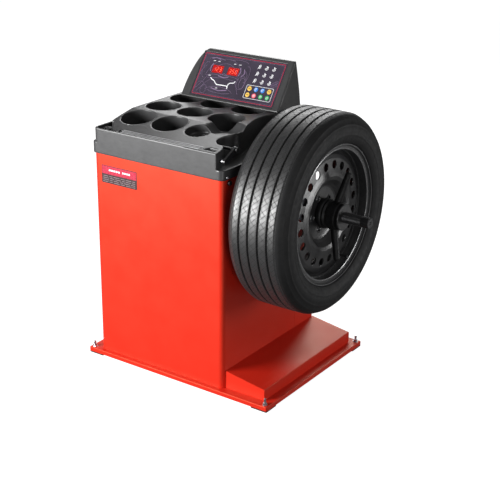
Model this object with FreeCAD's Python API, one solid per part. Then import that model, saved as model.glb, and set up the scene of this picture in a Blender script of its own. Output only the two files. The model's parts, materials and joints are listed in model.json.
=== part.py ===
import FreeCAD, Part
import math
import os

from FreeCAD import Vector as V

# Bench-height wheel balancing machine with a wheel clamped on its spindle.
# Working frame: X along the front towards the spindle, Y to the back, Z up.
# The working origin is the middle of the base on the floor. Everything is
# moved by ORIGIN_X on export, so that the row origin is the middle of the
# whole machine's footprint.

# base
BASE_X, BASE_Y = 381.0, 305.0
PAD_H, BASE_TOP = 4.0, 19.0
BOLT_X, BOLT_Y = 366.0, 291.0
# cabinet
CAB_L, CAB_R = -341.0, 193.0
CAB_F, CAB_B = -286.0, 271.0
CAB_TOP, SHEET, SEAM_Y = 745.0, 2.5, 149.0
# step cover
STEP_R, STEP_HI, STEP_LO = 349.0, 81.0, 58.0
# spindle
SPZ, SHAFT_R, SHAFT_END = 602.0, 18.0, 562.0
THREAD_PITCH = 4.0
# wheel
TYRE_R, TYRE_W, WHEEL_X = 333.5, 225.0, 336.5
FLANGE_R, HUB_FACE = 233.5, 380.0
VENTS, VENT_PCR, LUGS, LUG_PCR = 20, 162.0, 5, 56.0
# tray
TRAY_Z, DECK_Z, DECK_FRONT = 746.0, 864.0, 832.0
POCKET_R, POCKET_DEPTH = 60.0, 72.0
COLS = (-245.0, -112.0, 20.0)
ROWS = (-163.0, -28.0, 104.0)
SLOPE_END = -110.0
# display head
HEAD_L, HEAD_R = -289.0, 123.0
HEAD_F, HEAD_TOPF, HEAD_TOPB, HEAD_B = 120.0, 230.0, 238.0, 266.0
HEAD_TOP = 1020.0
PANEL_X0, PANEL_X1, PANEL_V0, PANEL_V1 = -251.0, 95.0, 13.0, 178.0
KEY_R, KEY_TRAVEL = 8.5, 0.8
KEY_X = (-18.5, 8.5, 35.5, 62.5)
KEY_V = (69.0, 46.0)
# distance gauge
ROD_Y, ROD_Z, ROD_R = -214.0, 830.0, 5.0
# drive
SP_PULLEY_R, MO_PULLEY_R = 45.0, 22.0
MOT_Y, MOT_Z = 150.0, 330.0

ORIGIN_X = (SHAFT_END - BASE_X) / 2.0
X_AXIS = V(1, 0, 0)
PARTS = {}


def box(x0, x1, y0, y1, z0, z1):
    return Part.makeBox(x1 - x0, y1 - y0, z1 - z0, V(x0, y0, z0))


def cyl_x(r, x0, x1, y=0.0, z=SPZ):
    return Part.makeCylinder(r, x1 - x0, V(x0, y, z), X_AXIS)


def cyl_z(r, x, y, z0, z1):
    return Part.makeCylinder(r, z1 - z0, V(x, y, z0), V(0, 0, 1))


def cyl_y(r, x, z, y0, y1):
    return Part.makeCylinder(r, y1 - y0, V(x, y0, z), V(0, 1, 0))


def join(shapes):
    out = shapes[0]
    for s in shapes[1:]:
        out = out.fuse(s)
    return out.removeSplitter()


def turn_x(points, y=0.0, z=SPZ):
    """Solid of revolution about the X line through (y, z); points are (x, r)."""
    pts = [V(x, y, z + r) for x, r in points]
    wire = Part.makePolygon(pts + [pts[0]])
    return Part.Face(wire).revolve(V(0, y, z), X_AXIS, 360)


def turn_z(points, x, y):
    """Solid of revolution about the Z line through (x, y); points are (r, z)."""
    pts = [V(x + r, y, z) for r, z in points]
    wire = Part.makePolygon(pts + [pts[0]])
    return Part.Face(wire).revolve(V(x, y, 0), V(0, 0, 1), 360)


def prism_x(points, x0, x1):
    """Polygon of (y, z) points drawn at x0 and pulled to x1."""
    pts = [V(x0, y, z) for y, z in points]
    return Part.Face(Part.makePolygon(pts + [pts[0]])).extrude(V(x1 - x0, 0, 0))


def prism_y(points, y0, y1):
    """Polygon of (x, z) points drawn at y0 and pulled to y1."""
    pts = [V(x, y0, z) for x, z in points]
    return Part.Face(Part.makePolygon(pts + [pts[0]])).extrude(V(0, y1 - y0, 0))


def smooth(solid, radius, pick):
    edges = [e for e in solid.Edges if pick(e)]
    if not edges:
        return solid
    try:
        out = solid.makeFillet(radius, edges)
        if out.isValid() and out.Volume > 0:
            return out
    except Exception:
        pass
    return solid


def upright(e):
    a, b = e.Vertexes[0].Point, e.Vertexes[-1].Point
    d = b.sub(a)
    return d.Length > 1.0 and abs(d.z) / d.Length > 0.999


def near_x(e, x):
    return abs(e.BoundBox.XMin - x) < 0.01 and abs(e.BoundBox.XMax - x) < 0.01


def put(name, shape):
    PARTS[name] = shape


# ---- base -----------------------------------------------------------------
def base():
    plate = box(-BASE_X, BASE_X, -BASE_Y, BASE_Y, PAD_H, BASE_TOP)
    plate = smooth(plate, 4.0, upright)
    plate = smooth(plate, 2.0, lambda e: e.BoundBox.ZMin > BASE_TOP - 0.01)
    plate = plate.cut(box(-BASE_X + 3, BASE_X - 3, -BASE_Y + 3, BASE_Y - 3,
                          PAD_H - 1, BASE_TOP - 3))
    feet = []
    bolts = []
    for sx in (-1, 1):
        for sy in (-1, 1):
            x, y = sx * BOLT_X, sy * BOLT_Y
            hole = cyl_z(4.6, x, y, -1, BASE_TOP + 1)
            plate = plate.cut(hole)
            xa, xb = sorted((sx * (BASE_X - 3.1), sx * (BASE_X - 60)))
            ya, yb = sorted((sy * (BASE_Y - 3.1), sy * (BASE_Y - 57)))
            block = box(xa, xb, ya, yb, PAD_H, BASE_TOP - 3)
            xa, xb = sorted((sx * BASE_X, sx * (BASE_X - 63)))
            ya, yb = sorted((sy * BASE_Y, sy * (BASE_Y - 60)))
            sole = smooth(box(xa, xb, ya, yb, 0, PAD_H), 4.0, upright)
            feet.append(block.fuse(sole).removeSplitter().cut(hole))
            bolts.append(anchor_bolt(x, y))
    put("base_plate", plate)
    put("base_feet", Part.makeCompound(feet))
    put("anchor_bolts", Part.makeCompound(bolts))


def anchor_bolt(x, y):
    stud = Part.makeCylinder(4.0, 40.0, V(x, y, 2.0))
    stud = smooth(stud, 0.8, lambda e: e.BoundBox.ZMin > 41.9)
    washer = Part.makeCylinder(9.0, 1.6, V(x, y, BASE_TOP))
    pts = []
    for i in range(6):
        a = math.radians(60 * i + 15)
        pts.append(V(x + 7.5 * math.cos(a), y + 7.5 * math.sin(a), BASE_TOP + 1.6))
    nut = Part.Face(Part.makePolygon(pts + [pts[0]])).extrude(V(0, 0, 6.5))
    cone = Part.makeCone(7.0, 14.0, 7.0, V(x, y, BASE_TOP + 1.1))
    top = Part.makeCone(14.0, 6.6, 7.4, V(x, y, BASE_TOP + 1.1))
    nut = nut.common(cone).common(top)
    nut2 = Part.makeCylinder(5.6, 1.2, V(x, y, BASE_TOP + 8.0))
    return join([stud, washer, nut, nut2])


# ---- cabinet --------------------------------------------------------------
def cabinet():
    outer = box(CAB_L, CAB_R, CAB_F, SEAM_Y, BASE_TOP, CAB_TOP)
    outer = smooth(outer, 18.0, lambda e: upright(e) and e.BoundBox.YMax < CAB_F + 1)
    inner = box(CAB_L + SHEET, CAB_R - SHEET, CAB_F + SHEET, SEAM_Y + 1,
                BASE_TOP + SHEET, CAB_TOP + 1)
    inner = smooth(inner, 15.5,
                   lambda e: upright(e) and e.BoundBox.YMax < CAB_F + SHEET + 1)
    shell = outer.cut(inner)
    # bottom return flange left by the floor cut-out
    shell = shell.cut(box(CAB_L + 27, CAB_R - 27, CAB_F + 27, SEAM_Y + 1, 0, BASE_TOP + 5))
    # inner lips that take the rear cover
    for x0, x1 in ((CAB_L + SHEET, CAB_L + 22), (CAB_R - 22, CAB_R - SHEET)):
        shell = shell.fuse(box(x0, x1, SEAM_Y - SHEET, SEAM_Y, BASE_TOP + SHEET, CAB_TOP))
    shell = shell.removeSplitter()
    shell = shell.cut(cyl_x(60.0, CAB_R - 10, CAB_R + 10))
    # narrow inspection slot and its pilot hole in the spindle-side wall
    slot = box(CAB_R - 6, CAB_R + 6, -236, -232, 416, 443)
    slot = slot.fuse(cyl_x(2.0, CAB_R - 6, CAB_R + 6, -234, 416))
    slot = slot.fuse(cyl_x(2.0, CAB_R - 6, CAB_R + 6, -234, 443))
    shell = shell.cut(slot)
    put("cabinet_shell", shell)

    cover = box(CAB_L, CAB_R, SEAM_Y + 0.8, CAB_B, BASE_TOP, CAB_TOP)
    cover = smooth(cover, 6.0, lambda e: upright(e) and e.BoundBox.YMin > CAB_B - 1)
    cin = box(CAB_L + SHEET, CAB_R - SHEET, SEAM_Y, CAB_B - SHEET, BASE_TOP - 1, CAB_TOP + 1)
    cin = smooth(cin, 3.5, lambda e: upright(e) and e.BoundBox.YMin > CAB_B - SHEET - 1)
    cover = cover.cut(cin)
    for i in range(8):
        for x0 in (-150.0, -20.0):
            z = 150.0 + 14.0 * i
            cover = cover.cut(box(x0, x0 + 90, CAB_B - 6, CAB_B + 6, z, z + 5))
    cover = cover.cut(box(-284, -256, CAB_B - 6, CAB_B + 6, 110, 130.2))
    cover = cover.cut(box(-281, -259, CAB_B - 6, CAB_B + 6, 160, 188.2))
    put("rear_cover", cover)

    plate = box(CAB_L + 3, CAB_R - 3, CAB_F + 3, CAB_B - 3, CAB_TOP - 6, CAB_TOP - 3)
    plate = smooth(plate, 14.0, lambda e: upright(e) and e.BoundBox.YMax < CAB_F + 4)
    plate = plate.cut(box(-200, 60, 60, 200, CAB_TOP - 8, CAB_TOP))
    plate = plate.cut(box(CAB_L - 5, CAB_L + 23, SEAM_Y - 3, SEAM_Y + 1, 700, 800))
    plate = plate.cut(box(CAB_R - 23, CAB_R + 5, SEAM_Y - 3, SEAM_Y + 1, 700, 800))
    put("top_plate", plate)

    pts = [(CAB_R + 0.2, BASE_TOP), (STEP_R, BASE_TOP), (STEP_R, STEP_LO),
           (CAB_R + 0.2, STEP_HI)]
    step = prism_y(pts, -270.0, 271.0)
    step = smooth(step, 3.0, lambda e: near_x(e, STEP_R) and e.BoundBox.ZMin > 30)
    pin = [(CAB_R - 5, BASE_TOP - 1), (STEP_R - SHEET, BASE_TOP - 1),
           (STEP_R - SHEET, STEP_LO - SHEET), (CAB_R - 5, STEP_HI - SHEET + 0.6)]
    step = step.cut(prism_y(pin, -270.0 + SHEET, 271.0 - SHEET))
    put("step_cover", step)

    put("rating_label", box(-308, -156, CAB_F - 0.4, CAB_F, 647, 709))


# ---- weight tray ----------------------------------------------------------
def slope_z(y):
    if y >= SLOPE_END:
        return DECK_Z
    t = (y - SLOPE_END) / (-292.0 - SLOPE_END)
    return DECK_Z + (DECK_FRONT - DECK_Z) * t


def pocket_tool(x, y, r, tilt_deg, lip=5.0):
    top = slope_z(y)
    prof = [(0.0, top - POCKET_DEPTH), (r - 8, top - POCKET_DEPTH),
            (r - 2.5, top - POCKET_DEPTH + 2.5), (r, top - POCKET_DEPTH + 8), (r, top - lip)]
    for i in range(1, 6):
        a = math.radians(18 * i)
        prof.append((r + lip * (1 - math.cos(a)), top - lip + lip * math.sin(a)))
    prof = prof + [(r + lip, top + 40.0), (0.0, top + 40.0)]
    tool = turn_z(prof, x, y)
    if tilt_deg:
        tool.rotate(V(x, y, top), X_AXIS, tilt_deg)
    return tool


def deck_outline():
    """Plan of the raised deck: straight front and left, flowing right side."""
    right = [V(171, -292, 0), V(171, -262, 0), V(158, -236, 0), V(128, -226, 0),
             V(112, -205, 0), V(118, -178, 0), V(136, -150, 0), V(138, -110, 0),
             V(122, -50, 0), V(106, 10, 0), V(104, 60, 0), V(118, 110, 0), V(118, 275, 0)]
    curve = Part.BSplineCurve()
    curve.interpolate(right[2:12])
    corner = Part.BSplineCurve()
    corner.interpolate([V(-318, -170, 0), V(-303, -222, 0), V(-277, -261, 0), V(-232, -292, 0)])
    edges = [Part.makeLine(V(-232, -292, 0), right[0]), Part.makeLine(right[0], right[1]),
             Part.makeLine(right[1], right[2]), curve.toShape(),
             Part.makeLine(right[11], right[12]), Part.makeLine(right[12], V(-318, 275, 0)),
             Part.makeLine(V(-318, 275, 0), V(-318, -170, 0)), corner.toShape()]
    return Part.Wire(Part.__sortEdges__(edges))


def tray():
    skirt = box(-346, 198, -292, 275, TRAY_Z, 779)
    skirt = smooth(skirt, 20.0, lambda e: upright(e) and e.BoundBox.YMax < -291)
    skirt = smooth(skirt, 8.0, lambda e: upright(e) and e.BoundBox.YMin > 274)
    shoulder = box(-346, 0, -292, 275, 770, 786)
    shoulder = smooth(shoulder, 20.0,
                      lambda e: upright(e) and e.BoundBox.YMax < -291 and near_x(e, -346))
    wall = box(-336, 0, -292, 275, 780, 834)
    wall = smooth(wall, 20.0,
                  lambda e: upright(e) and e.BoundBox.YMax < -291 and near_x(e, -336))
    deck = Part.Face(deck_outline()).extrude(V(0, 0, DECK_Z - 770))
    deck.translate(V(0, 0, 770))
    gutter = box(-330, 400, -286, 269, 800, 900)
    gutter = smooth(gutter, 14.0,
                    lambda e: upright(e) and e.BoundBox.YMax < -285 and near_x(e, -330))
    keep = Part.Face(deck_outline()).extrude(V(0, 0, 300))
    keep.translate(V(0, 0, 700))
    wall = wall.cut(gutter.cut(keep))
    body = join([skirt, shoulder, wall, deck])
    nose = prism_x([(-300, slope_z(-300)), (SLOPE_END, DECK_Z), (SLOPE_END, 960),
                    (-300, 960)], -400, 400)
    body = body.cut(nose)
    # lowered land in front of the middle right-hand pocket
    dip = prism_x([(-207, 850), (-190, 824), (-118, 829), (-28, DECK_Z), (-28, 960),
                   (-207, 960)], -20, 200)
    body = body.cut(dip)
    # hollow underside, leaving a cup round every pocket
    void = box(-329, 100, -286, 269, TRAY_Z - 1, 795)
    inner = box(-303, 98, -202, 269, 790, DECK_Z - 4)
    inner = inner.cut(box(-84, 200, -230, -20, 812, 900))
    inner = inner.cut(prism_x([(-300, slope_z(-300) - 4.2), (SLOPE_END, DECK_Z - 4),
                               (SLOPE_END, 960), (-300, 960)], -400, 400))
    void = void.fuse(inner)
    void = void.fuse(box(60, 190, -286, 269, TRAY_Z - 1, 775))
    for i, x in enumerate(COLS):
        for j, y in enumerate(ROWS):
            cup = POCKET_R + (9.5 if j == 0 else 3.5)
            void = void.cut(cyl_z(cup, x, y, slope_z(y) - POCKET_DEPTH - 15, 900))
    void = void.fuse(box(66, 112, -224.5, -203.5, TRAY_Z - 1, 839.5))
    body = body.cut(void)
    tilt = math.degrees(math.atan2(DECK_Z - DECK_FRONT, 292.0 + SLOPE_END))
    for i, x in enumerate(COLS):
        for j, y in enumerate(ROWS):
            if i == 2 and j == 0:
                body = body.cut(pocket_tool(x - 6, y - 9, 46.0, tilt))
            else:
                body = body.cut(pocket_tool(x, y, POCKET_R, tilt if j == 0 else 0.0))
    # long double groove at the front of the deck and the small pen recess
    for k in (0, 1):
        y0 = -281.0 + 7.0 * k
        g = box(-218, 104, y0, y0 + 4, slope_z(y0) - 2.0, 900)
        body = body.cut(g)
    pen = prism_x([(-285, 826), (-262, 826), (-262, 900), (-285, 900)], 112, 152)
    body = body.cut(pen)
    # small round recess with a post, front left corner
    body = body.cut(cyl_z(17.0, -305, -264, 806, 900))
    body = body.fuse(cyl_z(4.0, -305, -264, 795, 826))
    # rod way and side wall opening
    body = body.cut(cyl_x(6.5, 60, 260, ROD_Y, ROD_Z))
    body = body.removeSplitter()
    put("weight_tray", body)

    screws = []
    for x0, x1, s in ((198.0, 201.0, 1), (-349.0, -346.0, -1)):
        for y in (-268.0, 225.0):
            head = cyl_x(5.0, x0, x1, y, 754)
            head = smooth(head, 1.6, lambda e: near_x(e, x1 if s > 0 else x0))
            sink = cyl_x(1.6, x1 - 1.5 if s > 0 else x0 - 1, x1 + 1 if s > 0 else x0 + 1.5,
                         y, 754)
            screws.append(head.cut(sink))
    put("tray_screws", Part.makeCompound(screws))
    peg = cyl_x(8.0, CAB_R, CAB_R + 9, -255, 733)
    peg = smooth(peg, 3.0, lambda e: near_x(e, CAB_R + 9))
    put("hanger_peg", peg)


# ---- display head ---------------------------------------------------------
LEAN = math.atan2(HEAD_TOP - DECK_Z, HEAD_TOPF - HEAD_F)
UP = V(0, math.cos(LEAN), math.sin(LEAN))
OUT = V(0, -math.sin(LEAN), math.cos(LEAN))


def on_panel(x, v, w):
    """Point x along the panel, v up its slope, w out of its face."""
    return V(x, HEAD_F, DECK_Z) + UP * v + OUT * w


def panel_box(x0, x1, v0, v1, w0, w1, rad=0.0):
    pts = [on_panel(x0, v0, w0), on_panel(x1, v0, w0), on_panel(x1, v1, w0),
           on_panel(x0, v1, w0)]
    solid = Part.Face(Part.makePolygon(pts + [pts[0]])).extrude(OUT * (w1 - w0))
    if rad:
        def across(e):
            a, b = e.Vertexes[0].Point, e.Vertexes[-1].Point
            d = b.sub(a)
            return d.Length > 0.1 and abs(d.dot(OUT)) / d.Length > 0.999
        solid = smooth(solid, rad, across)
    return solid


def panel_disc(x, v, r, w0, w1):
    return Part.makeCylinder(r, w1 - w0, on_panel(x, v, w0), OUT)


def head():
    side = [(HEAD_F, DECK_Z), (HEAD_TOPF, HEAD_TOP), (HEAD_TOPB, HEAD_TOP),
            (HEAD_B, DECK_Z)]
    body = prism_x(side, HEAD_L, HEAD_R)
    lean = prism_y([(HEAD_L - 50, 800), (HEAD_L, DECK_Z), (HEAD_L + 1, 907),
                    (HEAD_L + 6, 945), (HEAD_L + 16.5, 980), (HEAD_L + 31, 1005),
                    (HEAD_L + 46, HEAD_TOP + 1), (HEAD_L - 50, HEAD_TOP + 1)], 0, 400)
    body = body.cut(lean)
    body = body.cut(prism_y([(HEAD_R, DECK_Z), (HEAD_R - 4, HEAD_TOP + 1),
                             (HEAD_R + 20, HEAD_TOP + 1), (HEAD_R + 20, DECK_Z)], 0, 400))
    body = smooth(body, 5.0, lambda e: e.BoundBox.ZMin > HEAD_TOP - 1
                  and e.BoundBox.XLength > 100)
    body = smooth(body, 3.0, lambda e: e.BoundBox.ZLength > 100 and
                  e.BoundBox.XMin > HEAD_R - 10)
    hol = [(HEAD_F + 4.0, DECK_Z + 3), (HEAD_TOPF + 1.0, HEAD_TOP - 6),
           (HEAD_TOPB - 3.0, HEAD_TOP - 6), (HEAD_B - 4.0, DECK_Z + 3)]
    hollow = prism_x(hol, HEAD_L + 56, HEAD_R - 9)
    hollow = hollow.fuse(prism_x([(HEAD_F + 4.0, DECK_Z + 3), (HEAD_F + 40.0, DECK_Z + 54),
                                  (HEAD_B - 12.0, DECK_Z + 54), (HEAD_B - 4.0, DECK_Z + 3)],
                                 HEAD_L + 24, HEAD_R - 9))
    hollow = hollow.fuse(panel_box(PANEL_X0 - 3, PANEL_X1 + 3, 12, 170, -30, -4))
    body = body.cut(hollow)
    body = body.cut(panel_box(PANEL_X0, PANEL_X1, PANEL_V0, PANEL_V1, -2.2, 5, 3.0))
    body = body.cut(panel_box(PANEL_X0 + 4, PANEL_X1 - 4, PANEL_V0 + 4, PANEL_V1 - 10,
                              -8, 5, 3.0))
    put("display_housing", body.removeSplitter())

    panel = panel_box(PANEL_X0 + 0.3, PANEL_X1 - 0.3, PANEL_V0 + 0.3, PANEL_V1 - 0.3,
                      -2.2, -0.7, 2.7)
    for x in (-175.0, -109.0):
        panel = panel.cut(panel_box(x - 23, x + 23, 119 - 14.5, 119 + 14.5, -5, 5))
    for x in KEY_X:
        for v in KEY_V:
            panel = panel.cut(panel_disc(x, v, KEY_R + 0.4, -5, 5))
    put("control_panel", panel)

    for name, x in (("led_display_left", -175.0), ("led_display_right", -109.0)):
        led = panel_box(x - 22.7, x + 22.7, 104.8, 133.2, -9.0, -1.0)
        face = panel_box(x - 20.5, x + 20.5, 107, 131, -1.2, 0)
        put(name, led.cut(face))
    icons = []
    for x in (-10.0, 20.0, 50.0):
        for v in (151.0, 125.0, 99.0):
            icons.append(panel_box(x - 9, x + 9, v - 7.5, v + 7.5, -0.7, -0.3, 2.0))
    put("icon_keys", Part.makeCompound(icons))

    board = panel_box(PANEL_X0 + 8, PANEL_X1 - 8, PANEL_V0 + 8, PANEL_V1 - 14, -10.6, -9.0)
    chips = [board]
    for x, v, a, b, h in ((-150, 60, 30, 30, 3.5), (-90, 50, 22, 14, 3.0), (20, 120, 26, 26, 3.0),
                          (-200, 40, 12, 24, 8.0)):
        chips.append(panel_box(x - a / 2, x + a / 2, v - b / 2, v + b / 2, -10.6 - h, -10.5))
    for x in KEY_X:
        for v in KEY_V:
            chips.append(panel_box(x - 4, x + 4, v - 4, v + 4, -9.1, -7.6))
    put("display_board", join(chips))

    names = ("key_start", "key_stop", "key_menu", "key_mode")
    rows = ("upper", "lower")
    for i, x in enumerate(KEY_X):
        for j, v in enumerate(KEY_V):
            cap = panel_disc(x, v, KEY_R, -5.2, 0.4)
            cap = smooth(cap, 0.7, lambda e: e.CenterOfMass.sub(
                on_panel(x, v, 0.4)).Length < 0.05)
            stem = panel_disc(x, v, 3.0, -6.7, -5.0)
            put("%s_%s" % (names[i], rows[j]), cap.fuse(stem).removeSplitter())


# ---- spindle, wheel and clamp ---------------------------------------------
def spindle():
    pts = [(-178, 0), (-178, 11), (-177, 12), (-130, 12), (-130, 17), (-103, 17), (-103, 24),
           (158, 24), (158, 22), (186, 22), (186, 27), (262, 27), (262, 20), (352, 20),
           (352, SHAFT_R), (533, SHAFT_R), (533, 16.4), (536.5, 16.4), (536.5, SHAFT_R),
           (SHAFT_END - 2, SHAFT_R), (SHAFT_END, SHAFT_R - 2), (SHAFT_END, 5),
           (SHAFT_END - 4, 2), (SHAFT_END - 4, 0)]
    put("spindle_shaft", turn_x(pts))

    fl = [(262, 20), (262, 34), (300, 40), (336, 46), (350, 74), (356, 84), (358, 86),
          (374.5, 86), (HUB_FACE - 4, 84.5), (HUB_FACE - 4, 60), (HUB_FACE - 4, 50),
          (346, 50), (346, 47), (302, 30), (302, 20)]
    put("backing_flange", turn_x(fl))

    cone = [(353, SHAFT_R), (353, 46), (355, 46), (397, 23.5), (398, 22), (398, SHAFT_R)]
    put("centring_cone", turn_x(cone))

    spring = []
    for i in range(5):
        x = 315.0 + 7.6 * i
        r = 26.5 + 2.6 * i
        spring.append(Part.makeTorus(r, 1.6, V(x, 0, SPZ), X_AXIS))
    link = cyl_x(1.3, 315, 345.4, 0, SPZ + 31.7)
    spring_bars = []
    for i in range(4):
        a = V(315.0 + 7.6 * i, 0, SPZ + 26.5 + 2.6 * i)
        b = V(315.0 + 7.6 * (i + 1), 0, SPZ + 26.5 + 2.6 * (i + 1))
        d = b.sub(a)
        spring_bars.append(Part.makeCylinder(1.3, d.Length, a, d))
    del link
    put("cone_spring", join(spring + spring_bars))

    pul = [(-174, 12), (-174, SP_PULLEY_R + 2.5), (-172, SP_PULLEY_R + 2.5)]
    for i in range(5):
        x = -172.0 + 3.4 * i
        pul = pul + [(x, SP_PULLEY_R), (x + 1.7, SP_PULLEY_R - 1.6)]
    pul = pul + [(-155, SP_PULLEY_R), (-155, SP_PULLEY_R + 2.5), (-153, SP_PULLEY_R + 2.5),
                 (-153, 12)]
    put("spindle_pulley", turn_x(pul))

    disc = turn_x([(-147, 12), (-147, 42), (-145.6, 42), (-145.6, 12)])
    for i in range(24):
        a = math.radians(15 * i)
        hole = cyl_x(1.6, -149, -144, 36.5 * math.cos(a), SPZ + 36.5 * math.sin(a))
        disc = disc.cut(hole)
    put("encoder_disc", disc)


def wheel():
    o = WHEEL_X
    outer = [(-97, 233.5), (-92, 233.5), (-88, 231.5), (-85.6, 227), (-85.2, 219), (-58, 218),
             (-52, 214), (-44, 196), (2, 196), (10, 210), (18, 214), (58, 218), (85.2, 219),
             (85.6, 227), (88, 231.5), (92, 233.5), (97, 233.5)]
    inner = [(97, 230.2), (92.6, 230.2), (89.6, 226), (89, 215.5), (58, 214.4), (19, 210.4),
             (12.4, 207), (4, 192.4), (-46, 192.4), (-54.6, 210.6), (-59, 214.4), (-89, 215.5),
             (-89.6, 226), (-92.6, 230.2), (-97, 230.2)]
    rim = turn_x([(o + x, r) for x, r in outer + inner])
    h = HUB_FACE
    front = [(h + 8, 216.0), (h + 11, 204), (h + 18, 194), (h + 22.5, 182), (h + 25.5, 150),
             (h + 29, 134), (h + 30, 124), (h + 26, 112), (h + 10, 99), (h + 2, 90), (h, 84),
             (h, 35.2)]
    back = [(h - 4, 35.2), (h - 4, 84.5), (h - 1.6, 92), (h + 6, 102), (h + 22, 114),
            (h + 25.6, 124), (h + 25, 132), (h + 21.4, 149), (h + 18.6, 180), (h + 14.6, 191),
            (h + 6, 203), (h - 2, 215.2)]
    disc = turn_x(front + back)
    for i in range(VENTS):
        a = math.radians(7.0 + 360.0 / VENTS * i)
        y, z = VENT_PCR * math.cos(a), SPZ + VENT_PCR * math.sin(a)
        disc = disc.cut(cyl_x(14.0, h, h + 60, y, z))
    for i in range(LUGS):
        a = math.radians(41.0 + 72.0 * i)
        y, z = LUG_PCR * math.cos(a), SPZ + LUG_PCR * math.sin(a)
        boss = Part.makeCone(13.0, 10.5, 3.0, V(h - 0.5, y, z), X_AXIS)
        disc = disc.fuse(boss)
        disc = disc.cut(cyl_x(7.2, h - 10, h + 20, y, z))
        disc = disc.cut(Part.makeCone(7.2, 9.2, 2.6, V(h, y, z), X_AXIS))
    va = math.radians(-64.0)
    vy, vz = 189.0 * math.cos(va), SPZ + 189.0 * math.sin(va)
    stem = join([cyl_x(5.5, h + 10, h + 24, vy, vz), cyl_x(3.8, h + 23, h + 46, vy, vz),
                 cyl_x(5.0, h + 46, h + 56, vy, vz)])
    rim = join([rim, disc]).cut(stem)
    put("wheel_rim", rim)
    put("valve_stem", stem)

    w = TYRE_W / 2
    out = [(-84.6, 219.6), (-85.0, 227.4), (-87.4, 232.1), (-91.8, 234.0), (-97.6, 234.2),
           (-w + 10, 238), (-w + 6, 246), (-w + 1, 262),
           (-w, 276), (-w + 3, 292), (-w + 9, 306), (-w + 14, 316), (-w + 22, 325),
           (-w + 36, 330)]
    grooves = []
    for c in (-52.0, -18.0, 18.0, 52.0):
        crown = TYRE_R - 0.0011 * (abs(c) ** 1.6)
        grooves = grooves + [(c - 5, crown), (c - 4, crown - 7.5), (c + 4, crown - 7.5),
                             (c + 5, crown)]
    mid = grooves[:8] + [(0, TYRE_R)] + grooves[8:]
    right = [(-x, r) for x, r in reversed(out)]
    cav = [(w - 37, 219.6), (w - 34, 232), (w - 24, 246), (w - 12, 262), (w - 10, 276),
           (w - 13, 292), (w - 20, 304), (w - 36, 312), (0, 316)]
    cav = cav + [(-x, r) for x, r in reversed(cav[:-1])]
    ring = turn_x([(o + x, r) for x, r in out + mid + right + cav])
    put("tyre", ring)


def clamp():
    h = HUB_FACE
    cup = [(h, 37), (h, 41.5), (h + 3, 44), (h + 12, 50), (h + 20, 50), (h + 24, 47),
           (h + 24, SHAFT_R + 0.05), (h + 19, SHAFT_R + 0.05), (h + 19, 37)]
    put("clamp_cup", turn_x(cup))
    hub = [(h + 24.3, SHAFT_R + 0.05), (h + 24.3, 45), (h + 30, 47), (h + 36, 42), (h + 76, 42),
           (h + 80, 43), (h + 82, 43), (h + 82, SHAFT_R + 0.05)]
    put("quick_nut", turn_x(hub))
    face = [(h + 82, SHAFT_R + 0.05), (h + 82, 44), (h + 86, 44), (h + 87.5, 42.5),
            (h + 87.5, SHAFT_R + 0.05)]
    put("nut_face", turn_x(face))
    band = turn_x([(h + 40, 42), (h + 40, 45.5), (h + 43, 47), (h + 70, 47), (h + 73, 45.5),
                   (h + 73, 42)])
    arms = []
    for s in (1, -1):
        a = math.radians(78.7)
        d = V(0, s * math.cos(a), s * math.sin(a))
        p0 = V(h + 55, 0, SPZ) + d * 42.5
        p1 = V(h + 79, 0, SPZ) + d * 136.0
        run = p1.sub(p0)
        arm = Part.makeCone(13.0, 10.5, run.Length, p0, run)
        knob = Part.makeSphere(10.5, p1)
        root = Part.makeSphere(13.0, p0)
        root = root.cut(cyl_x(42.0, h, h + 100))
        arms.append(join([arm.cut(cyl_x(42.0, h, h + 100)), knob, root]))
    put("nut_handles", join([band] + arms))


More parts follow.
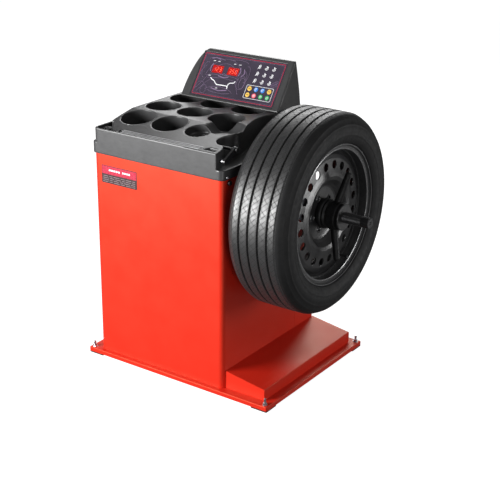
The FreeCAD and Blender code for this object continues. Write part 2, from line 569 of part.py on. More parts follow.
# ---- spindle support and drive ----------------------------------------------
def support():
    post = box(-100, 100, -60, 60, BASE_TOP, 530)
    post = post.cut(box(-94, 94, -54, 54, BASE_TOP + 6, 524))
    foot = box(-140, 140, -95, 95, BASE_TOP, BASE_TOP + 8)
    top = box(-125, 175, -75, 75, 530, 540)
    put("spindle_pedestal", join([post, foot, top]))

    tube = cyl_x(48.0, -130, 186)
    feet = join([box(-110, -70, -40, 40, 546, 575), box(120, 160, -40, 40, 546, 575)])
    tube = tube.fuse(feet).removeSplitter()
    tube = tube.cut(cyl_x(30.0, -140, 190))
    tube = tube.cut(cyl_x(40.0, -131, -104))
    tube = tube.cut(cyl_x(40.0, 160, 190))
    put("spindle_housing", tube)
    for name, x0, x1, r in (("bearing_front", 160.0, 184.0, 22.05),
                            ("bearing_rear", -128.0, -104.0, 17.05)):
        ring = turn_x([(x0, r), (x0, r + 5), (x0 + 1.2, r + 5), (x0 + 1.2, 35), (x0, 35),
                       (x0, 40), (x1, 40), (x1, 35), (x1 - 1.2, 35), (x1 - 1.2, r + 5),
                       (x1, r + 5), (x1, r)])
        put(name, ring)
    put("piezo_sensors", Part.makeCompound([cyl_z(12.0, -90, 0, 540, 546),
                                            cyl_z(12.0, 140, 0, 540, 546)]))
    put("motor_mount", join([box(-90, 60, 60, 66, 240, 430),
                             box(-90, 60, 66, 96, 286, 292),
                             box(-90, 60, 66, 96, 368, 374)]))
    mot = cyl_x(52.0, -138, 64, MOT_Y, MOT_Z)
    mot = smooth(mot, 6.0, lambda e: near_x(e, 64))
    mot = join([mot, box(-90, 60, 96, 130, 284, 376),
                cyl_x(20.0, -146, -138, MOT_Y, MOT_Z)])
    mot = mot.cut(cyl_x(8.5, -150, -100, MOT_Y, MOT_Z))
    put("motor", mot)
    mp = [(-174, 0), (-174, MO_PULLEY_R + 2.5), (-172, MO_PULLEY_R + 2.5)]
    for i in range(5):
        x = -172.0 + 3.4 * i
        mp = mp + [(x, MO_PULLEY_R), (x + 1.7, MO_PULLEY_R - 1.6)]
    mp = mp + [(-155, MO_PULLEY_R), (-155, MO_PULLEY_R + 2.5), (-153, MO_PULLEY_R + 2.5),
               (-153, 8), (-110, 8), (-110, 0)]
    put("motor_pulley", turn_x(mp, MOT_Y, MOT_Z))

    def loop(extra, x0, x1):
        a, b = SP_PULLEY_R + extra, MO_PULLEY_R + extra
        dy, dz = MOT_Y, MOT_Z - SPZ
        dist = math.hypot(dy, dz)
        ang = math.atan2(dz, dy)
        off = math.acos((a - b) / dist)
        pts = []
        for c, r, s0, s1 in (((0.0, SPZ), a, ang + off, ang + 2 * math.pi - off),
                             ((MOT_Y, MOT_Z), b, ang - off, ang + off)):
            pts.append([(c[0] + r * math.cos(s0 + (s1 - s0) * t / 2.0),
                         c[1] + r * math.sin(s0 + (s1 - s0) * t / 2.0)) for t in (0, 1, 2)])
        p, q = pts
        v = [[V(x0, y, z) for y, z in k] for k in (p, q)]
        edges = [Part.Arc(v[0][0], v[0][1], v[0][2]).toShape(),
                 Part.makeLine(v[0][2], v[1][0]),
                 Part.Arc(v[1][0], v[1][1], v[1][2]).toShape(),
                 Part.makeLine(v[1][2], v[0][0])]
        return Part.Face(Part.Wire(edges)).extrude(V(x1 - x0, 0, 0))
    put("drive_belt", loop(3.3, -171.6, -155.4).cut(loop(0.4, -180, -140)))

    sensor = box(-151.6, -138, -12, 12, SPZ + 30, SPZ + 56)
    sensor = sensor.cut(box(-148.8, -143.8, -20, 20, SPZ + 20, SPZ + 46))
    sensor = sensor.fuse(box(-139, -100, -12, 12, SPZ + 48, SPZ + 56)).removeSplitter()
    sensor = sensor.cut(cyl_x(48.0, -131, -90))
    put("encoder_sensor", sensor)


# ---- electrics --------------------------------------------------------------
def electrics():
    x0 = CAB_L + SHEET
    bits = [box(x0 + 8, x0 + 9.6, -120, 80, 400, 600)]
    for y in (-112.0, 72.0):
        for z in (408.0, 592.0):
            bits.append(cyl_x(4.0, x0, x0 + 8.2, y, z))
    for y, z, a, b, h in ((-80, 450, 44, 36, 32), (-20, 540, 30, 60, 22), (40, 470, 24, 24, 30),
                          (45, 560, 20, 30, 16), (-70, 560, 50, 12, 12)):
        bits.append(box(x0 + 9.5, x0 + 9.6 + h, y - a / 2, y + a / 2, z - b / 2, z + b / 2))
    put("power_board", join(bits))
    coil = Part.makeTorus(34.0, 17.0, V(-255, 100, BASE_TOP + 20), V(0, 0, 1))
    disc = cyl_z(40.0, -255, 100, BASE_TOP, BASE_TOP + 4)
    cap = cyl_z(30.0, -255, 100, BASE_TOP + 34, BASE_TOP + 39)
    put("transformer", join([disc, coil, cyl_z(19.0, -255, 100, BASE_TOP, BASE_TOP + 39), cap]))
    body = box(-283.7, -256.3, CAB_B - 26, CAB_B, 110.3, 129.9)
    lip = smooth(box(-295, -245, CAB_B, CAB_B + 2.5, 106, 134),
                 3.0, lambda e: abs(e.BoundBox.YLength - 2.5) < 0.01)
    inlet = body.fuse(lip).removeSplitter()
    inlet = inlet.cut(box(-281, -259, CAB_B - 14, CAB_B + 5, 112.5, 127.7))
    blades = []
    for x in (-275.0, -270.0, -265.0):
        blades.append(box(x - 1, x + 1, CAB_B - 15, CAB_B - 3, 117, 123))
    put("power_inlet", join([inlet] + blades))
    sw = box(-280.7, -259.3, CAB_B - 24, CAB_B, 160.3, 187.9)
    rimp = smooth(box(-284, -256, CAB_B, CAB_B + 2, 157, 191.2),
                  2.0, lambda e: abs(e.BoundBox.YLength - 2.0) < 0.01)
    sw = sw.fuse(rimp).removeSplitter()
    sw = sw.cut(box(-277, -263, CAB_B - 15, CAB_B + 5, 161.6, 186.6))
    put("switch_housing", sw)
    rock = cyl_x(13.0, -276.6, -263.4, CAB_B - 8, 174.1)
    rock = rock.common(box(-280, -260, CAB_B - 11.5, CAB_B + 20, 163, 185.2))
    rock = rock.cut(cyl_x(22.0, -280, -260, CAB_B + 23.5, 174.1))
    rock.rotate(V(0, CAB_B - 8, 174.1), X_AXIS, -8.0)
    put("power_switch", rock)


# ---- distance gauge -----------------------------------------------------------
def gauge():
    tube = cyl_x(9.0, 72, 108, ROD_Y, ROD_Z)
    for x0 in (74.0, 101.0):
        tube = tube.fuse(box(x0, x0 + 5, ROD_Y - 9, ROD_Y + 9, CAB_TOP - 3, ROD_Z))
    tube = tube.fuse(box(74, 106, ROD_Y - 9, ROD_Y + 9, CAB_TOP - 3, CAB_TOP + 1))
    tube = tube.removeSplitter().cut(cyl_x(ROD_R + 0.05, 60, 160, ROD_Y, ROD_Z))
    put("gauge_guide", tube)
    put("gauge_potentiometer", join([box(80.5, 99.5, ROD_Y - 8, ROD_Y + 8, CAB_TOP + 1, 772),
                                     cyl_z(3.0, 90, ROD_Y, 772, 800)]))
    rod = [(67, 0), (67, 4), (68, ROD_R), (192.3, ROD_R), (192.3, 8.5), (197, 8.5),
           (198.5, 7.0), (198.5, 0)]
    put("gauge_rod", turn_x(rod, ROD_Y, ROD_Z))
    # pivoting arm: hub ring on the rod, flat bar and a round feeler pin
    hub = cyl_x(10.5, 184, 192, ROD_Y, ROD_Z)
    tip_y, tip_z = -269.0, 805.0
    d = V(0, tip_y - ROD_Y, tip_z - ROD_Z)
    n = V(0, -d.z, d.y)
    n.normalize()
    a = V(184, ROD_Y, ROD_Z)
    b = V(184, tip_y, tip_z)
    w0, w1 = 8.5, 8.0
    poly = [a + n * w0, b + n * w1, b - n * w1, a - n * w0]
    bar = Part.Face(Part.makePolygon(poly + [poly[0]])).extrude(V(8, 0, 0))
    arm = join([hub, bar, cyl_x(8.0, 184, 192, tip_y, tip_z)])
    arm = arm.cut(cyl_x(ROD_R + 0.05, 180, 196, ROD_Y, ROD_Z))
    put("gauge_arm", arm)
    pin = turn_x([(173, 0), (173, 5), (174.5, 6.5), (184, 6.5), (184, 0)], tip_y, tip_z)
    put("gauge_pin", pin)


def main():
    base()
    cabinet()
    tray()
    head()
    spindle()
    wheel()
    clamp()
    support()
    electrics()
    gauge()
    os.makedirs("parts", exist_ok=True)
    for name, shape in PARTS.items():
        shape = shape.copy()
        shape.translate(V(-ORIGIN_X, 0, 0))
        if not shape.isValid():
            print("not valid:", name)
        print("%-22s solids %d  %s" % (name, len(shape.Solids), [
            round(t, 1) for t in (shape.BoundBox.XMin, shape.BoundBox.XMax,
                                  shape.BoundBox.YMin, shape.BoundBox.YMax,
                                  shape.BoundBox.ZMin, shape.BoundBox.ZMax)]))
        shape.exportStep("parts/%s.step" % name)


main()
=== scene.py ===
import json
import math
import bpy
import bmesh
import numpy as np
from mathutils import Matrix, Vector


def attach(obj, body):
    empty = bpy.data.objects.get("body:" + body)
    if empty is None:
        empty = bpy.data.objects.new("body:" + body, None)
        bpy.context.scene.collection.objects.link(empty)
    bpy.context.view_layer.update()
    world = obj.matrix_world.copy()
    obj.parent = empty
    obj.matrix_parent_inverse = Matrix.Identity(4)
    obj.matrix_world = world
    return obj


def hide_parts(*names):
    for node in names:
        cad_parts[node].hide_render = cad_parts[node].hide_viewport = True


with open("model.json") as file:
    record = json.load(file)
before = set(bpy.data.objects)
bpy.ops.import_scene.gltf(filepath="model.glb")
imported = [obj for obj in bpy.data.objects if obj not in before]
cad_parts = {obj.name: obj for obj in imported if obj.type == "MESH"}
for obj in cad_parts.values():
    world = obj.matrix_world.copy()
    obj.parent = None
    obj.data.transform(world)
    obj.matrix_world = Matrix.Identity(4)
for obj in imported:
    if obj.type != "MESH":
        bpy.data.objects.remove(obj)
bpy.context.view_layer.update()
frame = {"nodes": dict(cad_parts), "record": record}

nodes = frame["nodes"]
scene = bpy.context.scene
MM = 0.001

# Main measures of the machine, in mm from the base-plate centre and the floor
OX = 90.5                               # base-plate centre to the frame's origin
SPZ = 602.0                             # spindle height
WHEEL_X, TYRE_R = 336.5, 333.5          # middle plane and outer radius of the tyre
DECK_Z = 864.0                          # flat part of the tray's deck
SLOPE_Y, SLOPE_RUN, SLOPE_DROP = -110.0, 182.0, 32.0   # the deck falls from SLOPE_Y to the front
FRONT_TILT = 0.176                      # lean of the front pockets, as a tangent
POCKET_DEPTH = 72.0
SMALL_X, SMALL_Y = 14.0, -172.0         # shallow pocket beside the dip
ROD_Y, ROD_Z = -214, 830                # distance gauge


# ---------------------------------------------------------------- helpers
def P(x, y, z):
    """Point in mm from the base-plate centre, as metres in the row frame."""
    return Vector(((x - OX) * MM, y * MM, z * MM))


def make(name, verts, faces, mat, smooth=True):
    """New object in the scene from vertices in metres."""
    me = bpy.data.meshes.new(name)
    me.from_pydata([tuple(v) for v in verts], [], faces)
    me.validate()
    me.update()
    ob = bpy.data.objects.new(name, me)
    scene.collection.objects.link(ob)
    if mat:
        me.materials.append(mat)
    for p in me.polygons:
        p.use_smooth = smooth
    return ob


def outward(ob, merge=0.0):
    """Turns the faces outwards, after merging vertices closer than merge metres."""
    bm = bmesh.new()
    bm.from_mesh(ob.data)
    if merge:
        bmesh.ops.remove_doubles(bm, verts=bm.verts, dist=merge)
    bmesh.ops.recalc_face_normals(bm, faces=bm.faces)
    bm.to_mesh(ob.data)
    bm.free()


def crease(ob, degrees):
    """Sharp shading where two faces meet at more than this angle."""
    bm = bmesh.new()
    bm.from_mesh(ob.data)
    for e in bm.edges:
        if len(e.link_faces) == 2:
            e.smooth = e.calc_face_angle(0.0) < math.radians(degrees)
    for f in bm.faces:
        f.smooth = True
    bm.to_mesh(ob.data)
    bm.free()


def lathe(name, profile, mat, seg):
    """Ring from a closed outline of (x, r) points in mm, turned about the spindle's axis."""
    verts, faces = [], []
    n = len(profile)
    for i in range(seg):
        a = 2 * math.pi * i / seg
        for x, r in profile:
            verts.append(P(x, r * math.cos(a), SPZ + r * math.sin(a)))
    for i in range(seg):
        j = (i + 1) % seg
        for k in range(n):
            m = (k + 1) % n
            faces.append((i * n + k, i * n + m, j * n + m, j * n + k))
    ob = make(name, verts, faces, mat)
    outward(ob, merge=1e-6)
    crease(ob, 28)
    return ob


# ---------------------------------------------------------------- materials
def pbr(name, colour, rough, metal=0.0, coat=0.0, coat_rough=0.1, vary=0.12,
        rvary=0.08, scale=60.0, bump=0.0, bscale=800.0, bdist=0.0002, spec=0.5,
        emit=None, emit_strength=0.0, stretch=None, tint=None):
    """Principled material with tone, roughness and relief that vary over the surface."""
    m = bpy.data.materials.new(name)
    m.use_nodes = True
    nt = m.node_tree
    bs = nt.nodes["Principled BSDF"]
    bs.inputs["Metallic"].default_value = metal
    bs.inputs["Coat Weight"].default_value = coat
    bs.inputs["Coat Roughness"].default_value = coat_rough
    bs.inputs["Specular IOR Level"].default_value = spec
    if tint:
        bs.inputs["Specular Tint"].default_value = (*tint, 1)
    tc = nt.nodes.new("ShaderNodeTexCoord")
    src = tc.outputs["Object"]
    if stretch:
        mp = nt.nodes.new("ShaderNodeMapping")
        mp.inputs["Scale"].default_value = stretch
        nt.links.new(src, mp.inputs["Vector"])
        src = mp.outputs["Vector"]
    big = nt.nodes.new("ShaderNodeTexNoise")
    big.inputs["Scale"].default_value = scale
    big.inputs["Detail"].default_value = 6.0
    nt.links.new(src, big.inputs["Vector"])
    ramp = nt.nodes.new("ShaderNodeValToRGB")
    lo = [max(0.0, c * (1 - vary)) for c in colour]
    hi = [min(1.0, c * (1 + vary)) for c in colour]
    ramp.color_ramp.elements[0].position = 0.3
    ramp.color_ramp.elements[0].color = (*lo, 1)
    ramp.color_ramp.elements[1].position = 0.7
    ramp.color_ramp.elements[1].color = (*hi, 1)
    nt.links.new(big.outputs["Fac"], ramp.inputs["Fac"])
    nt.links.new(ramp.outputs["Color"], bs.inputs["Base Color"])
    mr = nt.nodes.new("ShaderNodeMapRange")
    mr.inputs["From Min"].default_value = 0.25
    mr.inputs["From Max"].default_value = 0.75
    mr.inputs["To Min"].default_value = max(0.02, rough - rvary)
    mr.inputs["To Max"].default_value = min(1.0, rough + rvary)
    fine = nt.nodes.new("ShaderNodeTexNoise")
    fine.inputs["Scale"].default_value = bscale
    fine.inputs["Detail"].default_value = 3.0
    nt.links.new(src, fine.inputs["Vector"])
    mid = nt.nodes.new("ShaderNodeTexNoise")
    mid.inputs["Scale"].default_value = scale * 3.1      # finer than the tone's pattern
    mid.inputs["Detail"].default_value = 4.0
    nt.links.new(src, mid.inputs["Vector"])
    nt.links.new(mid.outputs["Fac"], mr.inputs["Value"])
    nt.links.new(mr.outputs["Result"], bs.inputs["Roughness"])
    if bump:
        bp = nt.nodes.new("ShaderNodeBump")
        bp.inputs["Strength"].default_value = bump
        bp.inputs["Distance"].default_value = bdist
        nt.links.new(fine.outputs["Fac"], bp.inputs["Height"])
        nt.links.new(bp.outputs["Normal"], bs.inputs["Normal"])
    if emit:
        bs.inputs["Emission Color"].default_value = (*emit, 1)
        bs.inputs["Emission Strength"].default_value = emit_strength
    return m


M = {
    "red_paint": pbr("red_paint", (0.62, 0.020, 0.009), 0.40,
                     vary=0.02, rvary=0.04, scale=5, bump=0.02, bscale=90, bdist=0.0003,
                     spec=0.6, tint=(1.0, 0.62, 0.34)),
    "tray_plastic": pbr("tray_plastic", (0.048, 0.048, 0.049), 0.36, vary=0.10, scale=40,
                        rvary=0.06, bump=0.25, bscale=1500, bdist=0.00012),
    # lighter grey for the tray's front ribs and pocket beads: painted highlight along these edges
    "tray_highlight_grey": pbr("tray_highlight_grey", (0.24, 0.24, 0.245), 0.24, vary=0.08, rvary=0.03, scale=40,
                      bump=0.05, bscale=1200, spec=0.9),
    "head_plastic": pbr("head_plastic", (0.046, 0.046, 0.047), 0.33, vary=0.10, scale=40,
                        rvary=0.06, bump=0.25, bscale=1500, bdist=0.00012),
    "black_plastic": pbr("black_plastic", (0.012, 0.012, 0.013), 0.42, vary=0.2, scale=60,
                         bump=0.3, bscale=1400, bdist=0.00015),
    "overlay": pbr("overlay", (0.045, 0.036, 0.055), 0.22, vary=0.25, scale=14, coat=0.5,
                   coat_rough=0.08, bump=0.04, bscale=1200, bdist=0.0001),
    "led_red": pbr("led_red", (0.30, 0.006, 0.005), 0.22, vary=0.1, coat=0.3, bump=0.03,
                   emit=(0.45, 0.006, 0.004), emit_strength=0.35),
    "led_digit": pbr("led_digit", (0.9, 0.10, 0.06), 0.3, vary=0.05, bump=0.03,
                     emit=(1.0, 0.10, 0.05), emit_strength=0.6),
    "print_red": pbr("print_red", (0.42, 0.020, 0.050), 0.3, vary=0.08, bump=0.03),
    "print_violet": pbr("print_violet", (0.19, 0.13, 0.22), 0.3, vary=0.2, bump=0.03),
    "print_grey": pbr("print_grey", (0.20, 0.15, 0.16), 0.35, vary=0.06, bump=0.03),
    "print_white": pbr("print_white", (0.84, 0.84, 0.86), 0.32, vary=0.04, bump=0.03),
    # lighter metal for the thin rings on the rim's edges: painted highlights
    "rim_edge": pbr("rim_edge", (0.26, 0.26, 0.265), 0.22, metal=0.5, vary=0.2, scale=40,
                    bump=0.1, bscale=700),
    "icon_white": pbr("icon_white", (0.82, 0.82, 0.84), 0.35, vary=0.04, bump=0.05),
    "key_amber": pbr("key_amber", (0.80, 0.50, 0.10), 0.28, vary=0.06, coat=0.4, bump=0.05),
    "key_blue": pbr("key_blue", (0.05, 0.22, 0.62), 0.28, vary=0.06, coat=0.4, bump=0.05),
    "key_red": pbr("key_red", (0.80, 0.12, 0.17), 0.28, vary=0.06, coat=0.4, bump=0.05),
    "key_green": pbr("key_green", (0.03, 0.34, 0.10), 0.28, vary=0.06, coat=0.4, bump=0.05),
    "label_dark": pbr("label_dark", (0.030, 0.012, 0.013), 0.35, vary=0.08, bump=0.03),
    "label": pbr("label", (0.62, 0.05, 0.06), 0.35, vary=0.05, bump=0.03),
    "zinc_steel": pbr("zinc_steel", (0.60, 0.60, 0.63), 0.28, metal=1.0, vary=0.12, scale=90,
                      bump=0.15, bscale=900),
    "spindle_steel": pbr("spindle_steel", (0.045, 0.045, 0.047), 0.38, metal=0.6, vary=0.25,
                         scale=80, bump=0.15, bscale=1000),
    "wheel_black": pbr("wheel_black", (0.026, 0.026, 0.027), 0.34, coat=0.5, coat_rough=0.25,
                       vary=0.2, scale=30, bump=0.12, bscale=500, bdist=0.0003),
    "tyre_rubber": pbr("tyre_rubber", (0.011, 0.011, 0.0115), 0.47, vary=0.2, scale=25,
                       bump=0.25, bscale=1100, bdist=0.00012, spec=0.95),
    "tyre_side": pbr("tyre_side", (0.010, 0.010, 0.0105), 0.62, vary=0.25, scale=25, bump=0.25,
                     bscale=1100, bdist=0.00015, spec=0.35),
    "nut_black": pbr("nut_black", (0.008, 0.008, 0.0085), 0.5, vary=0.2, scale=50, bump=0.2,
                     bscale=900, spec=0.3),
    "black_paint": pbr("black_paint", (0.014, 0.014, 0.015), 0.35, coat=0.3, vary=0.15,
                       scale=50, bump=0.15, bscale=700),
    "cast_grey": pbr("cast_grey", (0.16, 0.17, 0.19), 0.55, metal=0.6, vary=0.18, scale=70,
                     bump=0.6, bscale=500, bdist=0.0005),
    "alloy": pbr("alloy", (0.62, 0.63, 0.65), 0.35, metal=1.0, vary=0.08, scale=80, bump=0.2),
    "belt_rubber": pbr("belt_rubber", (0.015, 0.015, 0.015), 0.75, vary=0.2, bump=0.4),
    "pcb": pbr("pcb", (0.02, 0.16, 0.06), 0.35, vary=0.3, scale=150, bump=0.2),
    "ceramic": pbr("ceramic", (0.74, 0.68, 0.52), 0.4, vary=0.06, bump=0.1),
    "copper": pbr("copper", (0.60, 0.28, 0.13), 0.35, metal=0.9, vary=0.2, bump=0.4,
                  stretch=(1, 1, 12)),
}

# every CAD node that stays gets the material of its slot, but for the blacker clamp pieces
slot_of = {s["node"]: s["material_slot"] for s in frame["record"]["subparts"]}
slot_of["nut_face"] = "wheel_black"
for n in ("quick_nut", "nut_handles", "clamp_cup"):
    slot_of[n] = "nut_black"
for n, ob in nodes.items():
    m = M.get(slot_of[n], M["wheel_black"])
    if not ob.data.materials:
        ob.data.materials.append(m)
    for s in ob.material_slots:
        s.material = m


# ---------------------------------------------------------------- solid from a distance field
def smin(a, b, k):
    """Union of two fields with a fillet about k mm wide."""
    h = np.clip(0.5 + 0.5 * (b - a) / k, 0.0, 1.0)
    return b * (1 - h) + a * h - k * h * (1 - h)


def smax(a, b, k):
    """Intersection of two fields with an edge rounded about k mm wide."""
    return -smin(-a, -b, k)


def rbox(X, Y, Z, lo, hi, plan, edge):
    """Distance to a box with rounded upright corners and rounded top edges."""
    cx, cy = (lo[0] + hi[0]) / 2, (lo[1] + hi[1]) / 2
    qx = np.abs(X - cx) - ((hi[0] - lo[0]) / 2 - plan)
    qy = np.abs(Y - cy) - ((hi[1] - lo[1]) / 2 - plan)
    dp = np.hypot(np.maximum(qx, 0), np.maximum(qy, 0))
    dp = dp + np.minimum(np.maximum(qx, qy), 0) - plan
    dz = np.maximum(lo[2] - Z, Z - hi[2])
    return smax(dp, dz, edge)


def plan_distance(X, Y, pts):
    """Signed distance in plan to a closed polygon."""
    best = np.full(X.shape, 1e9)
    inside = np.zeros(X.shape, bool)
    n = len(pts)
    for i in range(n):
        (ax, ay), (bx, by) = pts[i], pts[(i + 1) % n]
        ex, ey = bx - ax, by - ay
        t = np.clip(((X - ax) * ex + (Y - ay) * ey) / (ex * ex + ey * ey + 1e-12), 0, 1)
        best = np.minimum(best, np.hypot(X - ax - t * ex, Y - ay - t * ey))
        if ay != by:
            cross = ((ay > Y) != (by > Y)) & (X < ex * (Y - ay) / ey + ax)
            inside ^= cross
    return np.where(inside, -best, best)


def rounded(points, steps=8):
    """Closed Catmull-Rom through (x, y, smooth) points; corners with smooth 0 stay sharp."""
    out = []
    n = len(points)
    for i in range(n):
        p0, p1, p2, p3 = (points[(i + k - 1) % n] for k in range(4))
        if not p1[2]:
            p0 = (2 * p1[0] - p2[0], 2 * p1[1] - p2[1], 0)
        if not p2[2]:
            p3 = (2 * p2[0] - p1[0], 2 * p2[1] - p1[1], 0)
        for s in range(steps):
            t = s / steps
            q = []
            for c in (0, 1):
                a, b, g, d4 = p0[c], p1[c], p2[c], p3[c]
                q.append(0.5 * (2 * b + (g - a) * t + (2 * a - 5 * b + 4 * g - d4) * t * t
                                + (3 * b - a - 3 * g + d4) * t ** 3))
            out.append(tuple(q))
    return out


def nets(name, field, lo, hi, step, mat):
    """Mesh of the surface where field(X, Y, Z) is 0, with lengths in mm."""
    n = [int(round((hi[i] - lo[i]) / step)) + 1 for i in range(3)]
    ax = [np.linspace(lo[i], lo[i] + step * (n[i] - 1), n[i]) for i in range(3)]
    X, Y, Z = np.meshgrid(*ax, indexing="ij")
    f = field(X, Y, Z).astype(np.float32)
    f[np.abs(f) < 1e-4] = 1e-4
    s = f < 0
    shape = tuple(v - 1 for v in f.shape)
    acc = np.zeros(shape + (3,), np.float32)
    cnt = np.zeros(shape, np.float32)
    corners = [(i, j, k) for i in (0, 1) for j in (0, 1) for k in (0, 1)]

    def at_corner(c):
        return f[c[0]:c[0] + shape[0], c[1]:c[1] + shape[1], c[2]:c[2] + shape[2]]

    # one vertex per cell, at the mean of the points where the surface crosses the cell's edges
    for a in corners:
        for axis in range(3):
            if a[axis]:
                continue
            b = tuple(v + (1 if i == axis else 0) for i, v in enumerate(a))
            fa, fb = at_corner(a), at_corner(b)
            m = (fa < 0) != (fb < 0)
            t = fa[m] / (fa[m] - fb[m])
            for i in range(3):
                acc[..., i][m] += a[i] + (t if i == axis else 0)
            cnt[m] += 1
    live = cnt > 0
    index = np.full(shape, -1, np.int64)
    index[live] = np.arange(live.sum())
    cells = np.argwhere(live)
    co = (cells + acc[live] / cnt[live][:, None]) * step + np.array(lo)
    # one face for every grid edge that crosses the surface, turned so that it looks out
    quads = []
    for axis in range(3):
        o1, o2 = [(1, 2), (2, 0), (0, 1)][axis]
        sl0 = [slice(1, -1)] * 3
        sl1 = [slice(1, -1)] * 3
        sl0[axis] = slice(0, -1)
        sl1[axis] = slice(1, None)
        s0, s1 = s[tuple(sl0)], s[tuple(sl1)]
        for flip in (False, True):
            m = (s0 & ~s1) if not flip else (~s0 & s1)
            at = np.argwhere(m)
            at += np.array([0 if i == axis else 1 for i in range(3)])

            def cell(d1, d2):
                q = at.copy()
                q[:, o1] -= d1
                q[:, o2] -= d2
                return index[q[:, 0], q[:, 1], q[:, 2]]
            ring = [cell(1, 1), cell(0, 1), cell(0, 0), cell(1, 0)]
            if flip:
                ring = ring[::-1]
            quads.append(np.stack(ring, 1))
    quads = np.concatenate(quads)
    co[:, 0] -= OX
    return make(name, (co * MM).tolist(), quads.tolist(), mat)


# ---------------------------------------------------------------- weight tray
POCKETS = [(x, y) for x in (-245.0, -112.0, 20.0) for y in (-163.0, -28.0, 104.0)]
DECK = rounded([(171, -292, 0), (171, -262, 0), (158, -236, 1), (128, -226, 1), (112, -205, 1),
                (118, -178, 1), (136, -150, 1), (138, -110, 1), (122, -50, 1), (106, 10, 1),
                (104, 60, 1), (118, 110, 0), (118, 275, 0), (-318, 275, 0), (-318, -170, 1),
                (-303, -222, 1), (-277, -261, 1), (-232, -292, 0)])


def pocket_tilt(cy):
    """Lean of the pocket at cy: only the front row leans."""
    return FRONT_TILT if cy < -100 else 0.0


def step_up(v, a, b):
    """Smooth step from 0 at a to 1 at b."""
    t = np.clip((v - a) / (b - a), 0, 1)
    return t * t * (3 - 2 * t)


def slope_height(y):
    """Height of the deck at y, without the dip."""
    return DECK_Z - SLOPE_DROP * np.clip((SLOPE_Y - y) / SLOPE_RUN, 0, 1)


def deck_height(X, Y):
    """Height of the deck with its rounded dip on the right."""
    away = np.hypot((X - 74.0) / 78.0, (Y + 108.0) / 66.0)
    return slope_height(Y) - 34.0 * step_up(1.0 - away, 0.0, 0.62)


def tray_field(X, Y, Z):
    """Tray with skirt, ledge, gutter, deck, pockets, tool slots and the gauge's notch."""
    x2, y2 = X[:, :, 0], Y[:, :, 0]
    plan = plan_distance(x2, y2, DECK)[:, :, None]
    height = deck_height(x2, y2)[:, :, None]
    # the deck's edge is rounded, but sharp along the front wall
    deck = smax(plan + 0 * Z, Z - height, 4.0)
    sharp_front = np.maximum(plan + 0 * Z, Z - height)
    w = step_up(-Y, 262.0, 280.0)
    deck = deck * (1 - w) + sharp_front * w
    deck = np.maximum(deck, 746.0 - Z)
    # skirt and ledge
    body = rbox(X, Y, Z, (-346, -292, 746), (198, 275, 780), 20, 3)
    body = np.minimum(body, rbox(X, Y, Z, (-346, -292, 746), (60, 275, 786), 20, 3))
    upper = rbox(X, Y, Z, (-336, -292, 746), (60, 275, 834), 20, 3)
    gutter = rbox(X, Y, Z, (-329, -285, 800), (400, 269, 950), 14, 4)
    upper = smax(upper, -gutter, 2.0)
    body = np.minimum(body, upper)
    land = rbox(X, Y, Z, (-331, -288, 790), (-262, -226, 825), 12, 2)
    body = np.minimum(body, land)
    body = np.where(Y < -284.0, np.minimum(body, deck), smin(body, deck, 2.0))
    for cx, cy in POCKETS:
        tilt = pocket_tilt(cy)
        small = cx > 0 and cy < -100
        r0, depth = (46.0, 30.0) if small else (61.0, POCKET_DEPTH)
        px, py = (SMALL_X, SMALL_Y) if small else (cx, cy)
        top = slope_height(py)
        rad = np.hypot(X - px, (Y - py) + tilt * (Z - top)) - r0 - 0.035 * (Z - top)
        floor = (top - depth) - Z + tilt * (Y - py)
        body = smax(body, -smax(rad, floor, 9.0), 3.0)
        if small:
            hole = np.maximum(np.hypot(X - px, Y - py) - 31.0, top - POCKET_DEPTH - Z)
            body = np.maximum(body, -hole)
    from_axis = np.hypot(X - SMALL_X, Y - SMALL_Y)
    ring = np.hypot(from_axis - 33.5, Z - (824 + 0.17 * (Y - SMALL_Y))) - 3.0
    body = np.minimum(body, ring)
    # two long slots, a peg hole and a pen slot along the front
    for k in range(2):
        yc = -279.5 + 8.0 * k
        slot = np.maximum(np.maximum(np.abs(Y - yc) - 2.2, height - 3.5 - Z),
                          np.abs(X + 62) - 160)
        body = smax(body, -slot, 0.6)
    hole = np.maximum(np.maximum(np.abs(X + 229) - 5, np.abs(Y + 275) - 8), height - 9 - Z)
    body = smax(body, -hole, 1.0)
    pen = np.maximum(np.maximum(np.abs(X - 134) - 21, np.abs(Y + 270) - 9), height - 7 - Z)
    pen = np.maximum(pen, (113 - X) + 0.7 * (Y + 279))
    body = smax(body, -pen, 1.2)
    # hanging post in its cup on the front left corner
    post = np.maximum(np.hypot(X + 301, Y + 262) - 4.5, Z - 829)
    cup = np.maximum(np.hypot(X + 305, Y + 264) - 18.0, 806 - Z)
    body = smin(smax(body, -cup, 2.0), post, 1.5)
    # room for the gauge's rod and guide
    rod = np.maximum(np.hypot(Y - ROD_Y, Z - ROD_Z) - 6.5, 60 - X)
    body = np.maximum(body, -rod)
    guide = np.maximum(np.maximum(np.abs(X - 89) - 23, np.abs(Y - ROD_Y) - 10.5), Z - 839.5)
    return np.maximum(body, -guide)


tray = nets("tray_shell", tray_field, (-351, -297, 741), (203, 280, 870),
            2.0, M["tray_plastic"])
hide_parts("weight_tray")
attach(tray, "frame")


# ---------------------------------------------------------------- display head
LEAN = math.atan2(156.0, 110.0)      # slope of the panel
HEAD_FRONT = 120                     # y of the panel's lower edge, which is at DECK_Z


def on_panel(x, v, w):
    """Point x along the sloping panel, v up it and w out of it."""
    return P(x, HEAD_FRONT + v * math.cos(LEAN) - w * math.sin(LEAN),
             DECK_Z + v * math.sin(LEAN) + w * math.cos(LEAN))


